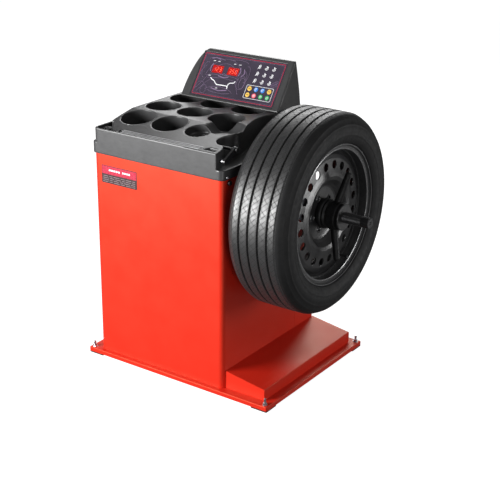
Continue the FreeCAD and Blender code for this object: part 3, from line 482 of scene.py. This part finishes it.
def head_field(X, Y, Z):
    """Side outline crossed with the front outline, with a well for the panel and its boards."""
    y2, z2 = Y[0], Z[0]
    side = rounded([(119.5, 864, 0), (230, 1021, 1), (234, 1021.5, 1), (240, 1018, 1),
                    (258, 930, 1), (266.5, 864, 0)], 6)
    front = rounded([(-289.5, 864, 0), (-288.5, 907, 1), (-283, 945, 1), (-272.5, 980, 1),
                     (-258, 1005, 1), (-244, 1018, 1), (-230, 1022, 0), (119, 1022, 0),
                     (123.5, 864, 0)], 6)
    a = plan_distance(y2, z2, side)[None, :, :]
    x2, z3 = X[:, 0, :], Z[:, 0, :]
    b = plan_distance(x2, z3, front)[:, None, :]
    body = smax(a + 0 * X, b + 0 * X, 6.0)
    c, t = math.cos(LEAN), math.sin(LEAN)
    v = (Y - HEAD_FRONT) * c + (Z - DECK_Z) * t
    w = -(Y - HEAD_FRONT) * t + (Z - DECK_Z) * c
    well = np.maximum(np.maximum(np.abs(X + 78) - 173.2, np.abs(v - 95.5) - 82.7), -3.4 - w)
    body = np.maximum(body, -well)
    inner = np.maximum(np.maximum(np.abs(X + 80) - 160, np.abs(v - 92) - 70),
                       np.maximum(w + 3.4, -9.5 - w))
    body = np.maximum(body, -inner)
    return np.maximum(body, np.maximum(864.3 - Z, Z - 1019.6))


head = nets("head_shell", head_field, (-295, 115, 860), (129, 271, 1026),
            2.0, M["head_plastic"])
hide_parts("display_housing")
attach(head, "frame")


# ---------------------------------------------------------------- print on panel, tray and label
def ribbon(name, lines, width, mat, w0, w1, place=on_panel, node=None, body="frame"):
    """Raised print from w0 to w1: every line is a list of 2-D points drawn width mm wide."""
    verts, faces = [], []
    for line in lines:
        n = len(line)
        loop = n > 2 and line[0] == line[-1]
        left, right = [], []
        for i in range(n):
            a = line[i - 1] if i else (line[n - 2] if loop else line[0])
            c = line[i + 1] if i < n - 1 else (line[1] if loop else line[i])
            b = line[i]
            d1 = Vector((b[0] - a[0], b[1] - a[1]))
            d2 = Vector((c[0] - b[0], c[1] - b[1]))
            d1 = d1.normalized() if d1.length > 1e-9 else d2.normalized()
            d2 = d2.normalized() if d2.length > 1e-9 else d1
            t = d1 + d2
            t = t.normalized() if t.length > 1e-6 else d1
            h = width / 2 / max(0.5, t.dot(d1))
            left.append((b[0] - t.y * h, b[1] + t.x * h))
            right.append((b[0] + t.y * h, b[1] - t.x * h))
        s0 = len(verts)
        for i in range(n):
            for q in (left[i], right[i]):
                for w in (w0, w1):
                    verts.append(place(q[0], q[1], w))
        for i in range(n - 1):
            a, b = s0 + 4 * i, s0 + 4 * (i + 1)
            faces += [(a + 1, b + 1, b + 3, a + 3), (a, a + 2, b + 2, b),
                      (a, b, b + 1, a + 1), (a + 2, a + 3, b + 3, b + 2)]
        e = s0 + 4 * (n - 1)
        faces += [(s0, s0 + 1, s0 + 3, s0 + 2), (e, e + 2, e + 3, e + 1)]
    ob = make(name, verts, faces, mat, smooth=False)
    if node:
        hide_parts(node)
    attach(ob, body)
    return ob


def arc(cx, cv, rx, rv, a0, a1, n=24):
    """Points of an ellipse's arc from a0 to a1 degrees."""
    return [(cx + rx * math.cos(math.radians(a0 + (a1 - a0) * i / n)),
             cv + rv * math.sin(math.radians(a0 + (a1 - a0) * i / n))) for i in range(n + 1)]


def frame_line(x0, x1, v0, v1, r):
    """Closed rectangle with corners of radius r."""
    pts = (arc(x1 - r, v1 - r, r, r, 0, 90, 6) + arc(x0 + r, v1 - r, r, r, 90, 180, 6)
           + arc(x0 + r, v0 + r, r, r, 180, 270, 6) + arc(x1 - r, v0 + r, r, r, 270, 360, 6))
    return pts + [pts[0]]


FILM = -0.72       # the overlay's surface, in mm out of the panel

# borders and the faint line drawing of a wheel
ribbon("panel_border", [frame_line(-246, 90, 18.5, 173, 3)], 1.9, M["print_red"], FILM, -0.5)
ribbon("panel_border_inner", [frame_line(-242, 86, 22.5, 169, 3)], 0.5, M["print_violet"],
       FILM, -0.55)
sketch = [arc(-142, 72, 78, 90, 12, 168, 40), arc(-142, 60, 66, 84, 20, 160, 36),
          arc(-142, 96, 98, 60, -4, 34, 14), arc(-142, 96, 98, 60, 146, 184, 14),
          arc(-62, 84, 17, 26, 0, 360, 28), arc(-58, 82, 11, 20, 0, 360, 24),
          arc(-224, 44, 18, 22, 20, 200, 16), arc(-206, 40, 12, 16, 0, 360, 20),
          [(-214, 92), (-190, 98), (-142, 101), (-96, 98), (-72, 92)],
          [(-206, 84), (-142, 90), (-80, 84)], arc(-142, 34, 60, 22, 15, 165, 24),
          [(-232, 28), (-205, 66), (-186, 84)], [(-60, 40), (-76, 66), (-88, 84)],
          [(-238, 40), (-216, 74), (-208, 92)], [(-190, 40), (-168, 34), (-120, 33), (-92, 38)],
          arc(-142, 110, 30, 8, 200, 340, 14), [(-158, 100), (-142, 108), (-126, 100)],
          arc(-190, 152, 34, 9, 10, 170, 16), arc(-96, 154, 40, 10, 12, 168, 16),
          arc(-224, 112, 12, 30, 60, 280, 18), arc(-52, 116, 12, 30, -100, 110, 18)]
ribbon("panel_sketch", sketch, 0.8, M["print_violet"], FILM, -0.58)
shade = [[(-214, 156), (-196, 161), (-176, 157)], [(-203, 108), (-206, 126), (-200, 138)],
         [(-82, 106), (-78, 124), (-84, 138)], [(-70, 104), (-60, 118), (-66, 134)],
         [(-164, 96), (-142, 92), (-120, 96)], [(-176, 48), (-142, 42), (-108, 48)]]
ribbon("panel_shade", shade, 3.4, M["print_violet"], FILM, -0.62)

# white outline of a rim's section, short marks and a faint hand
profile_line = [(-191.7, 85.3), (-184, 79.5), (-171.6, 75.1), (-165, 68), (-157.3, 62.8),
                (-136, 63.5), (-117.2, 63.4), (-112, 62), (-110.5, 70), (-104, 76), (-90, 78.5),
                (-85.5, 85.3)]
ribbon("panel_rim_profile", [profile_line, [(-110.5, 64), (-109.8, 53.5)]], 3.0,
       M["print_white"], FILM, -0.45)
mark_spots = ((-204, 148), (-184, 148), (-116, 147), (-94, 147), (-158, 50), (-204, 92))
marks = [[(x, v), (x + 9, v + 0.6)] for x, v in mark_spots]
hand = [[(60 + 5 * i, 87 + 2.0 * i), (63 + 5 * i, 102 + 2.2 * i)] for i in range(5)]
hand += [[(58, 86), (70, 95), (84, 104)], [(62, 84), (76, 90), (85, 95)],
         [(57, 92), (66, 103), (80, 112)]]
ribbon("panel_marks", marks, 1.7, M["print_white"], FILM, -0.5)
ribbon("panel_hand", hand, 0.9, M["print_violet"], FILM, -0.55)
ribbon("panel_key_frame", [frame_line(-33, 77, 33.5, 81.5, 4)], 1.3, M["print_white"],
       FILM, -0.45)

# nine pictograms: a figure-like sign in the left column, a turning arrow in the other two
glyphs = []
for cx in (-10.0, 20.0, 50.0):
    for cv in (151.0, 125.0, 99.0):
        if cx < 0:
            glyphs += [arc(cx + 1, cv + 3, 4.2, 5.2, 0, 360, 18),
                       [(cx - 5, cv - 3), (cx + 1, cv + 2)],
                       [(cx - 6, cv - 7), (cx - 1, cv - 2), (cx + 4, cv - 6)],
                       [(cx - 2, cv + 1), (cx + 4, cv + 6)], [(cx - 1, cv + 5), (cx + 3, cv)]]
        else:
            glyphs += [arc(cx, cv - 2, 5.6, 5.0, -200, 70, 18),
                       [(cx + 1, cv + 0.5), (cx + 6, cv + 4)],
                       [(cx - 1, cv + 7), (cx + 6, cv + 4.4), (cx - 1, cv + 2.6), (cx - 1, cv + 7)],
                       arc(cx, cv - 2, 2.0, 1.8, 0, 360, 10)]
ribbon("panel_icons", glyphs, 1.5, M["print_white"], FILM, -0.5, node="icon_keys")

# lit segments of the two displays
SEGS = {"a": [(-2.6, 6), (2.6, 6)], "b": [(3.4, 5.4), (3.0, 0.6)],
        "c": [(2.9, -0.6), (2.5, -5.4)], "d": [(-3.4, -6), (1.9, -6)],
        "e": [(-3.5, -0.6), (-3.9, -5.4)], "f": [(-3.0, 5.4), (-3.4, 0.6)],
        "g": [(-2.8, 0), (2.4, 0)]}
for name, cx, digits in (("led_digits_left", -175, ("bc", "abged", "abgcd")),
                         ("led_digits_right", -109, ("abgcd", "afgcd", "abcdef"))):
    lines = []
    for k, d in enumerate(digits):
        for q in d:
            lines.append([(cx - 12.5 + 12.5 * k + px, 119 + 1.15 * pv) for px, pv in SEGS[q]])
    ribbon(name, lines, 1.7, M["led_digit"], -1.22, -0.95)

# signs on the round keys, which move with their caps
KEYS = [("start", -18.5), ("stop", 8.5), ("menu", 35.5), ("mode", 62.5)]
for kn, kx in KEYS:
    for row, kv in (("upper", 69.0), ("lower", 46.0)):
        if kn in ("start", "mode") and (kn, row) != ("mode", "lower"):
            g = [[(kx - 4.5, kv - 1.5), (kx - 1, kv + 1.5), (kx + 1, kv - 1.5),
                  (kx + 4.5, kv + 1.5)]]
            mat = M["black_plastic"]
        elif row == "upper":
            g = [arc(kx, kv, 4.4, 4.4, 40, 250, 12), [(kx - 1, kv - 3), (kx + 2.5, kv + 2.5)]]
            mat = M["print_white"]
        else:
            g = [arc(kx, kv, 3.8, 3.8, 120, 420, 14), [(kx, kv), (kx, kv + 4.8)]]
            mat = M["print_white"]
        ribbon("key_mark_%s_%s" % (kn, row), g, 1.3, mat, 0.38, 0.55,
               body="key_%s_%s_cap" % (kn, row))

# ribs of the head's lower lip and the bead round its panel
lips = [[(-262, v), (98, v)] for v in (2.5, 6.5, 10.5)]
ribbon("head_lip_ribs", lips, 1.5, M["head_plastic"], -0.6, 0.9)
ribbon("head_rim_edge", [frame_line(-254, 98, 10.5, 180.5, 4)], 2.2, M["head_plastic"], -1.0, 0.9)


def on_slope(x, y, w):
    """Point on the tray's deck, w above it."""
    return P(x, y, slope_height(y) + w)


# front ribs in the lighter grey: painted highlight along their edges
ribbon("tray_front_ribs", [[(-222, -283.5), (98, -283.5)], [(-222, -275.5), (98, -275.5)],
                           [(-222, -267.5), (98, -267.5)],
                           [(98, -267.5), (106, -269), (106, -276)]],
       1.9, M["tray_highlight_grey"], -1.0, 1.3, place=on_slope)


def pocket_beads():
    """Raised bead round the mouth of every pocket that is clear of the dip, in a lighter grey that
    paints a highlight along the rim.
    """
    rings = []
    rr = 62.6
    for cx, cy in POCKETS:
        if cx > 0 and cy < 0:
            continue
        tilt = pocket_tilt(cy)
        ring = []
        for i in range(72):
            t = 2 * math.pi * i / 72
            ring.append((cx + rr * math.cos(t), cy + rr * math.sin(t) * (1 + 0.5 * tilt * tilt)))
        rings.append(ring + [ring[0]])
    return rings


# pocket beads in the lighter grey: painted highlight round the rims
ribbon("pocket_rims", pocket_beads(), 1.0, M["tray_highlight_grey"], -1.0, 0.5, place=on_slope)


# ---------------------------------------------------------------- rating label
def on_front(x, z, w):
    """Point on the cabinet's front wall, w out of it."""
    return P(x, -286.0 - w, z)


def plate(name, x0, x1, z0, z1, w0, w1, mat, r, node=None):
    """Flat plate with round corners on the cabinet's front."""
    pts = frame_line(x0, x1, z0, z1, r)[:-1]
    verts = [on_front(x, z, w) for w in (w0, w1) for x, z in pts]
    n = len(pts)
    faces = [tuple(range(n))[::-1], tuple(range(n, 2 * n))]
    faces += [(i, (i + 1) % n, n + (i + 1) % n, n + i) for i in range(n)]
    ob = make(name, verts, faces, mat, smooth=False)
    outward(ob)
    if node:
        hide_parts(node)
    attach(ob, "frame")
    return ob


# dark base, red band with light blocks, and rows of grey bars in place of print
plate("label_base", -308, -156, 647, 709, 0.05, 0.35, M["label_dark"], 3, node="rating_label")
plate("label_band", -306, -158, 679, 707, 0.35, 0.5, M["print_red"], 3)
blocks = [[(-276 + 10 * i, 694), (-269 + 10 * i, 694)] for i in range(5)]
blocks += [[(-218 + 9 * i, 694), (-212 + 9 * i, 694)] for i in range(4)]
ribbon("label_blocks", blocks, 6.0, M["print_white"], 0.5, 0.62, place=on_front)
rows = []
for k, z in enumerate((672, 665.5, 659, 652.5)):
    x = -302.0
    for i in range(6):
        ln = (22, 14, 26, 18, 24, 12)[(i + 2 * k) % 6]
        rows.append([(x, z), (min(x + ln, -162), z)])
        x += ln + 4.5
        if x > -172:
            break
ribbon("label_rows", rows, 2.2, M["print_grey"], 0.35, 0.5, place=on_front)


# ---------------------------------------------------------------- tyre
def sipe_tread():
    """Fine crossing cuts on the tread ribs, laid out by turn angle and width, as bump with painted
    shade: the cuts are coloured near black.
    """
    m = pbr("tyre_tread", (0.013, 0.013, 0.0135), 0.44, vary=0.2, scale=25, spec=0.9)
    nt = m.node_tree
    bs = nt.nodes["Principled BSDF"]
    tc = nt.nodes["Texture Coordinate"]

    def calc(op, *args):
        nd = nt.nodes.new("ShaderNodeMath")
        nd.operation = op
        for i, v in enumerate(args):
            if isinstance(v, (int, float)):
                nd.inputs[i].default_value = v
            else:
                nt.links.new(v, nd.inputs[i])
        return nd.outputs[0]
    sep = nt.nodes.new("ShaderNodeSeparateXYZ")
    nt.links.new(tc.outputs["Object"], sep.inputs[0])
    along = calc("MULTIPLY", calc("ARCTAN2", calc("SUBTRACT", sep.outputs["Z"], SPZ * MM),
                                  sep.outputs["Y"]), TYRE_R)
    width = calc("MULTIPLY", calc("SUBTRACT", sep.outputs["X"], (WHEEL_X - OX) * MM), 1000.0)
    rib = calc("WRAP", width, 17.5, -17.5)
    pitch = 2 * math.pi * TYRE_R / 110

    def line(v, half):
        """1 within half mm of every cut, 0 away from it."""
        near = calc("PINGPONG", v, pitch / 2)
        return calc("MULTIPLY", calc("SUBTRACT", half, near), 3.0)
    lean = calc("MULTIPLY", rib, 0.95)
    one = line(calc("ADD", along, lean), 1.05)
    two = line(calc("SUBTRACT", calc("ADD", along, pitch / 2), lean), 0.95)
    gate = calc("GREATER_THAN", calc("SINE", calc("MULTIPLY", along, math.pi / pitch)), -0.45)
    edge = calc("MULTIPLY", line(calc("ADD", along, pitch / 4), 0.8),
                calc("GREATER_THAN", calc("ABSOLUTE", rib), 9.5))
    cut_and_shade = calc("MAXIMUM", calc("MAXIMUM", one, calc("MULTIPLY", two, gate)), edge)
    cut_and_shade = calc("MINIMUM", calc("MAXIMUM", cut_and_shade, 0.0), 1.0)
    # the cuts are coloured near black: painted shade inside the sipes, on top of their bump and
    # rougher finish
    old = bs.inputs["Base Color"].links[0].from_socket
    mix = nt.nodes.new("ShaderNodeMix")
    mix.data_type = "RGBA"
    nt.links.new(cut_and_shade, mix.inputs[0])
    nt.links.new(old, mix.inputs[6])
    mix.inputs[7].default_value = (0.001, 0.001, 0.001, 1)
    nt.links.new(mix.outputs[2], bs.inputs["Base Color"])
    rough = bs.inputs["Roughness"].links[0].from_socket
    nt.links.new(calc("MAXIMUM", rough, calc("MULTIPLY", cut_and_shade, 0.95)), bs.inputs["Roughness"])
    bp = nt.nodes.new("ShaderNodeBump")
    bp.inputs["Strength"].default_value = 0.8
    bp.inputs["Distance"].default_value = 0.0012
    nt.links.new(calc("SUBTRACT", 1.0, cut_and_shade), bp.inputs["Height"])
    nt.links.new(bp.outputs["Normal"], bs.inputs["Normal"])
    return m


def tyre_mesh():
    """Tyre with four grooves, sidewall ribs and a serrated shoulder.

    Outlines are (distance from the middle plane, radius) in mm, from the inner side outwards.
    """
    grooves = (-52.0, -18.0, 18.0, 52.0)
    seg, step = ((1080, 1.0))
    side = [(-84.6, 219.6), (-85.0, 227.4), (-87.4, 232.1), (-91.8, 234.0), (-97.6, 234.2),
            (-100.0, 235.2), (-102.5, 238.0), (-104.2, 241.4), (-104.9, 243.0), (-105.9, 244.4),
            (-107.6, 248.5), (-109.2, 253.0), (-110.6, 258.0), (-111.1, 261.4), (-112.1, 262.6),
            (-112.3, 266.0), (-111.9, 267.4), (-112.2, 271.0), (-112.5, 276.0), (-112.3, 281.0),
            (-111.5, 286.0), (-110.2, 291.0), (-108.9, 295.0), (-109.2, 296.6), (-108.4, 298.4),
            (-106.9, 300.0), (-104.9, 304.0), (-102.6, 309.0), (-101.2, 312.4), (-100.8, 315.0),
            (-99.4, 316.2), (-97.6, 318.0), (-95.0, 321.0), (-92.5, 323.4), (-90.0, 325.4),
            (-86.5, 327.4), (-82.0, 329.1), (-78.5, 330.0)]
    tread = []
    for i in range(int(152 / step) + 1):
        x = -76.0 + step * i
        crown = TYRE_R - 0.06 - 0.0011 * abs(x) ** 1.6
        drop = 0.0
        for c in grooves:
            t = abs(x - c)
            drop = max(drop, 7.6 if t < 2.1 else (4.0 if t < 3.1 else 0.0))
        tread.append((x, min(crown, TYRE_R - drop) if drop else crown))
    outer = side + tread + [(-a, b) for a, b in reversed(side)]
    cav = [(75.5, 219.6), (78.5, 232), (88.5, 246), (100.5, 262), (102.5, 276), (99.5, 292),
           (92.5, 304), (76.5, 312), (40, 315), (0, 316)]
    cav = cav + [(-a, b) for a, b in reversed(cav[:-1])]
    prof = np.array(outer + cav)
    n, no = len(prof), len(outer)
    ang = np.arange(seg) * 2 * math.pi / seg
    px, pr = prof[:, 0][:, None], prof[:, 1][:, None]
    along = ang[None, :] * TYRE_R
    pitch = 2 * math.pi * TYRE_R / 360
    # fine ribs across both shoulders, one a degree
    ax = np.abs(px)
    outside = np.arange(n)[:, None] < no
    serrated = outside & (pr > 315.5) & (pr < 325) & (ax > 88)
    r = pr - np.where(serrated, 0.8 * (0.5 + 0.5 * np.cos(along * 2 * math.pi / pitch)), 0.0)
    X = px + 0 * r
    co = np.stack([(WHEEL_X - OX + X) * MM, r * np.cos(ang)[None, :] * MM,
                   (SPZ + r * np.sin(ang)[None, :]) * MM], -1)
    co = co.transpose(1, 0, 2).reshape(-1, 3)
    i = np.arange(seg)[:, None]
    k = np.arange(n)[None, :]
    j, m = (i + 1) % seg, (k + 1) % n
    f = np.stack([i * n + k, j * n + k, j * n + m, i * n + m], -1).reshape(-1, 4)
    ob = make("tyre_moulded", co.tolist(), f[:, ::-1].tolist(), sipe_tread())
    ob.data.materials.append(M["tyre_side"])
    on_side = (ax[:, 0] > 84).astype(int)
    for p in ob.data.polygons:
        p.material_index = int(on_side[p.vertices[0] % n])
    outward(ob)
    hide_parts("tyre")
    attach(ob, "spindle")


tyre_mesh()


# ---------------------------------------------------------------- threaded spindle
def spindle_mesh():
    """Stepped shaft with the nut's thread, 4 mm a turn, from x 399 to 533."""
    pts = [(-178, 0.01), (-178, 11), (-177, 12), (-130, 12), (-130, 17), (-103, 17), (-103, 24),
           (158, 24), (158, 22), (186, 22), (186, 27), (262, 27), (262, 20), (352, 20),
           (352, 18), (398, 18)]
    thread = [399.0 + i for i in range(134)]
    seg = 64
    tail = [(533.5, 16.4), (536.5, 16.4), (537, 18), (560, 18), (562, 16), (562, 5.2), (558, 2),
            (558, 0.01)]
    prof = pts + [(x, None) for x in thread] + tail
    verts, faces = [], []
    n = len(prof)
    for i in range(seg):
        a = 2 * math.pi * i / seg
        for x, r in prof:
            if r is None:
                q = abs(((x / 4.0 - i / seg) % 1.0) - 0.5) * 2
                r = 16.5 + 1.5 * min(1.0, max(0.0, (q - 0.2) / 0.5))
            verts.append(P(x, r * math.cos(a), SPZ + r * math.sin(a)))
    for i in range(seg):
        j = (i + 1) % seg
        for k in range(n - 1):
            faces.append((i * n + k, i * n + k + 1, j * n + k + 1, j * n + k))
    faces.append(tuple(i * n for i in range(seg)))
    faces.append(tuple(i * n + n - 1 for i in range(seg))[::-1])
    ob = make("spindle_threaded", verts, faces, M["spindle_steel"])
    outward(ob)
    crease(ob, 38)
    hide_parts("spindle_shaft")
    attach(ob, "spindle")


spindle_mesh()

# lighter rings on the rim's lip, bead seat and step, as (x, r) outlines: painted highlights along
# these edges
RIM_HIGHLIGHT_RINGS = {
    "rim_lip_front": [(433.2, 230.4), (433.9, 231.4), (433.9, 233.0), (433.2, 233.4),
                      (432.4, 233.0), (432.4, 230.8)],
    "rim_bead_front": [(425.6, 215.2), (426.3, 217.0), (425.9, 219.5), (425.0, 219.5),
                       (424.6, 216.0)],
    "rim_step_front": [(395.4, 213.4), (396.6, 213.2), (396.6, 215.0), (395.4, 215.0)],
}
for name, outline in RIM_HIGHLIGHT_RINGS.items():
    ring = lathe(name, outline, M["rim_edge"], seg=160)
    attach(ring, "spindle")


# ---------------------------------------------------------------- stage, light and camera
def stage_material():
    """Pale floor that shows nearly white."""
    m = bpy.data.materials.new("studio_floor")
    m.use_nodes = True
    nt = m.node_tree
    bs = nt.nodes["Principled BSDF"]
    bs.inputs["Base Color"].default_value = (0.30, 0.30, 0.30, 1)
    bs.inputs["Roughness"].default_value = 0.8
    bs.inputs["Emission Color"].default_value = (1, 1, 1, 1)
    bs.inputs["Emission Strength"].default_value = 0.97
    return m


def sweep_floor():
    """Floor that curves up into a wall behind the machine, square to the camera, in metres."""
    verts, faces = [], []
    prof = [(-9.0, 0.0), (6.0, 0.0)]
    for i in range(1, 9):
        a = math.radians(90 * i / 8)
        prof.append((6.0 + 3.0 * math.sin(a), 3.0 - 3.0 * math.cos(a)))
    prof.append((9.0, 9.0))
    a = math.radians(35.8)
    for u, h in prof:
        for s in (-12.0, 12.0):
            verts.append((u * -math.sin(a) + s * math.cos(a),
                          u * math.cos(a) + s * math.sin(a), h))
    for i in range(len(prof) - 1):
        faces.append((2 * i, 2 * i + 1, 2 * i + 3, 2 * i + 2))
    ob = make("studio_sweep", verts, faces, stage_material())
    ob.visible_diffuse = False
    ob.visible_glossy = False


sweep_floor()

# white behind the machine, dim as a source of light
world = bpy.data.worlds.new("studio")
scene.world = world
world.use_nodes = True
wt = world.node_tree
back = wt.nodes["Background"]
back.inputs["Color"].default_value = (1, 1, 1, 1)
path = wt.nodes.new("ShaderNodeLightPath")
lift = wt.nodes.new("ShaderNodeMapRange")
lift.inputs["To Min"].default_value = 0.12
lift.inputs["To Max"].default_value = 1.0
wt.links.new(path.outputs["Is Camera Ray"], lift.inputs["Value"])
wt.links.new(lift.outputs["Result"], back.inputs["Strength"])


def area(name, loc, target, size, power):
    """Square lamp, in metres and watts."""
    li = bpy.data.lights.new(name, "AREA")
    li.energy = power
    li.size = size
    ob = bpy.data.objects.new(name, li)
    ob.location = loc
    d = Vector(target) - Vector(loc)
    ob.rotation_mode = "QUATERNION"
    ob.rotation_quaternion = d.to_track_quat("-Z", "Y")
    scene.collection.objects.link(ob)


area("key", (-1.55, -2.75, 1.12), (-0.05, 0, 0.72), 1.3, 190)
area("rim", (-1.6, 3.0, 2.7), (0, 0, 0.8), 2.2, 72)
area("low", (2.3, -1.9, 0.25), (0.1, 0, 0.25), 0.9, 16)
area("dish", (2.6, 1.7, 0.30), (0.25, 0, 0.55), 1.0, 24)
area("lip", (2.6, -0.4, 2.4), (0.3, 0, 0.6), 1.0, 8)

# camera solved from the photograph's straight edges
cam = bpy.data.cameras.new("camera")
cam.sensor_width = 36.0
cam.lens = 86.28
cam.shift_x = 0.0445
cam.shift_y = -0.0084
cam.clip_end = 60.0
cob = bpy.data.objects.new("camera", cam)
scene.collection.objects.link(cob)
scene.camera = cob
yaw, pitch, roll = -0.62423, 0.37426, 0.0026        # radians
view = Vector((math.sin(yaw) * math.cos(pitch), math.cos(yaw) * math.cos(pitch),
               -math.sin(pitch)))
level = Vector((math.cos(yaw), -math.sin(yaw), 0.0))
upright = level.cross(view)
right = level * math.cos(roll) + upright * math.sin(roll)
top = upright * math.cos(roll) - level * math.sin(roll)
rot = Matrix((right, top, -view)).transposed()
cob.rotation_mode = "QUATERNION"
cob.rotation_quaternion = rot.to_quaternion()
cob.location = P(2271.8, -3145.1, 1920.1)

scene.view_settings.view_transform = "Standard"
scene.view_settings.look = "None"
